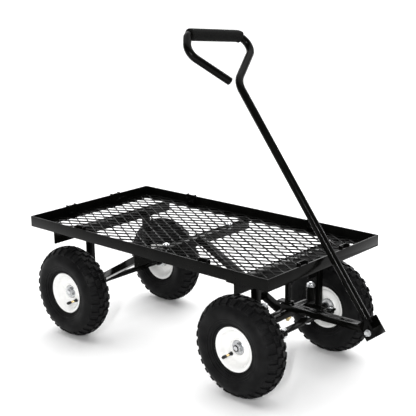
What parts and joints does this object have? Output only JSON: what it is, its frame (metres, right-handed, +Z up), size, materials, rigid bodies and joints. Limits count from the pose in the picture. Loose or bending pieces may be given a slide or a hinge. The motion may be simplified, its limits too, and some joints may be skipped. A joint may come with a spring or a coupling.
{
  "type": "garden cart",
  "caption": "Flat garden cart with an expanded-metal deck in an angle-iron frame, pneumatic wheels, a tongue that steers through tie rods, and a tilting pull handle with a padded grip.",
  "frame": {"origin": "bottom centre of the object's box, on the ground under the tyres", "axes": "+X forward to the tongue and pulling end, +Y the cart's left, +Z up"},
  "size_m": [1.03, 0.46, 0.8724],
  "materials": {
    "black_paint": "gloss black powder coat",
    "zinc": "bright zinc plate",
    "yellow_zinc": "yellow zinc plate",
    "white_paint": "gloss white enamel",
    "tyre_rubber": "matte black tyre rubber",
    "foam": "matte black foam",
    "black_plastic": "satin black plastic",
    "brass": "plain brass"
  },
  "bodies": {
    "chassis": {"axle_nut_rear_left": "zinc", "axle_nut_rear_right": "zinc", "centre_post": "black_paint", "centre_strut": "black_paint", "crossbar_front": "black_paint", "crossbar_middle": "black_paint", "crossbar_rear": "black_paint", "end_pocket_front_left": "black_paint", "end_pocket_front_right": "black_paint", "end_pocket_rear_left": "black_paint", "end_pocket_rear_right": "black_paint", "end_rail_front": "black_paint", "end_rail_rear": "black_paint", "front_axle_frame": "black_paint", "front_leg_left": "black_paint", "front_leg_right": "black_paint", "mesh_panel": "black_paint", "rear_axle": "zinc", "rear_leg_left": "black_paint", "rear_leg_right": "black_paint", "side_pocket_front_left": "black_paint", "side_pocket_front_right": "black_paint", "side_pocket_rear_left": "black_paint", "side_pocket_rear_right": "black_paint", "side_rail_left": "black_paint", "side_rail_right": "black_paint", "side_strut_left": "black_paint", "side_strut_right": "black_paint", "steering_bolt": "yellow_zinc"},
    "tongue": {"tongue": "black_paint", "tie_bolt": "zinc"},
    "handle": {"yoke": "black_paint", "handle_tube": "black_paint", "foam_grip": "foam", "tube_end_cap": "black_plastic", "handle_bolt": "zinc"},
    "knuckle_left": {"knuckle_left": "black_paint", "tie_rod_bolt_left": "zinc", "axle_nut_front_left": "zinc"},
    "tie_rod_left": {"tie_rod_left": "black_paint"},
    "wheel_front_left": {"tyre_front_left": "tyre_rubber", "rim_front_left": "white_paint", "hub_front_left": "zinc", "valve_front_left": "brass"},
    "wheel_rear_left": {"tyre_rear_left": "tyre_rubber", "rim_rear_left": "white_paint", "hub_rear_left": "zinc", "valve_rear_left": "brass"},
    "knuckle_right": {"knuckle_right": "black_paint", "tie_rod_bolt_right": "zinc", "axle_nut_front_right": "zinc"},
    "tie_rod_right": {"tie_rod_right": "black_paint"},
    "wheel_front_right": {"tyre_front_right": "tyre_rubber", "rim_front_right": "white_paint", "hub_front_right": "zinc", "valve_front_right": "brass"},
    "wheel_rear_right": {"tyre_rear_right": "tyre_rubber", "rim_rear_right": "white_paint", "hub_rear_right": "zinc", "valve_rear_right": "brass"}
  },
  "joints": [
    {"name": "steer", "type": "hinge", "parent": "chassis", "child": "tongue", "pos_m": [0.23703, 0, 0.18], "axis": [0, 0, 1], "range_deg": [-15, 15]},
    {"name": "handle_tilt", "type": "hinge", "parent": "tongue", "child": "handle", "pos_m": [0.49198, 0, 0.17975], "axis": [0, 1, 0], "range_deg": [0, 130]},
    {"name": "kingpin_left", "type": "hinge", "parent": "chassis", "child": "knuckle_left", "pos_m": [0.23703, 0.098, 0.18], "axis": [0, 0, 1], "range_deg": [-15, 15]},
    {"name": "tie_rod_end_left", "type": "hinge", "parent": "knuckle_left", "child": "tie_rod_left", "pos_m": [0.30053, 0.098, 0.1568], "axis": [0, 0, 1], "range_deg": [-15, 15]},
    {"name": "kingpin_right", "type": "hinge", "parent": "chassis", "child": "knuckle_right", "pos_m": [0.23703, -0.098, 0.18], "axis": [0, 0, 1], "range_deg": [-15, 15]},
    {"name": "tie_rod_end_right", "type": "hinge", "parent": "knuckle_right", "child": "tie_rod_right", "pos_m": [0.30053, -0.098, 0.1568], "axis": [0, 0, 1], "range_deg": [-15, 15]},
    {"name": "wheel_spin_front_left", "type": "hinge", "parent": "knuckle_left", "child": "wheel_front_left", "pos_m": [0.23703, 0.186, 0.13], "axis": [0, 1, 0], "continuous": true},
    {"name": "wheel_spin_rear_left", "type": "hinge", "parent": "chassis", "child": "wheel_rear_left", "pos_m": [-0.38497, 0.186, 0.13], "axis": [0, 1, 0], "continuous": true},
    {"name": "wheel_spin_front_right", "type": "hinge", "parent": "knuckle_right", "child": "wheel_front_right", "pos_m": [0.23703, -0.186, 0.13], "axis": [0, 1, 0], "continuous": true},
    {"name": "wheel_spin_rear_right", "type": "hinge", "parent": "chassis", "child": "wheel_rear_right", "pos_m": [-0.38497, -0.186, 0.13], "axis": [0, 1, 0], "continuous": true}
  ],
  "couplings": [
    {"joint": "kingpin_left", "follows": "steer", "ratio": 1},
    {"joint": "kingpin_right", "follows": "steer", "ratio": 1},
    {"joint": "tie_rod_end_left", "follows": "steer", "ratio": -1},
    {"joint": "tie_rod_end_right", "follows": "steer", "ratio": -1}
  ]
}
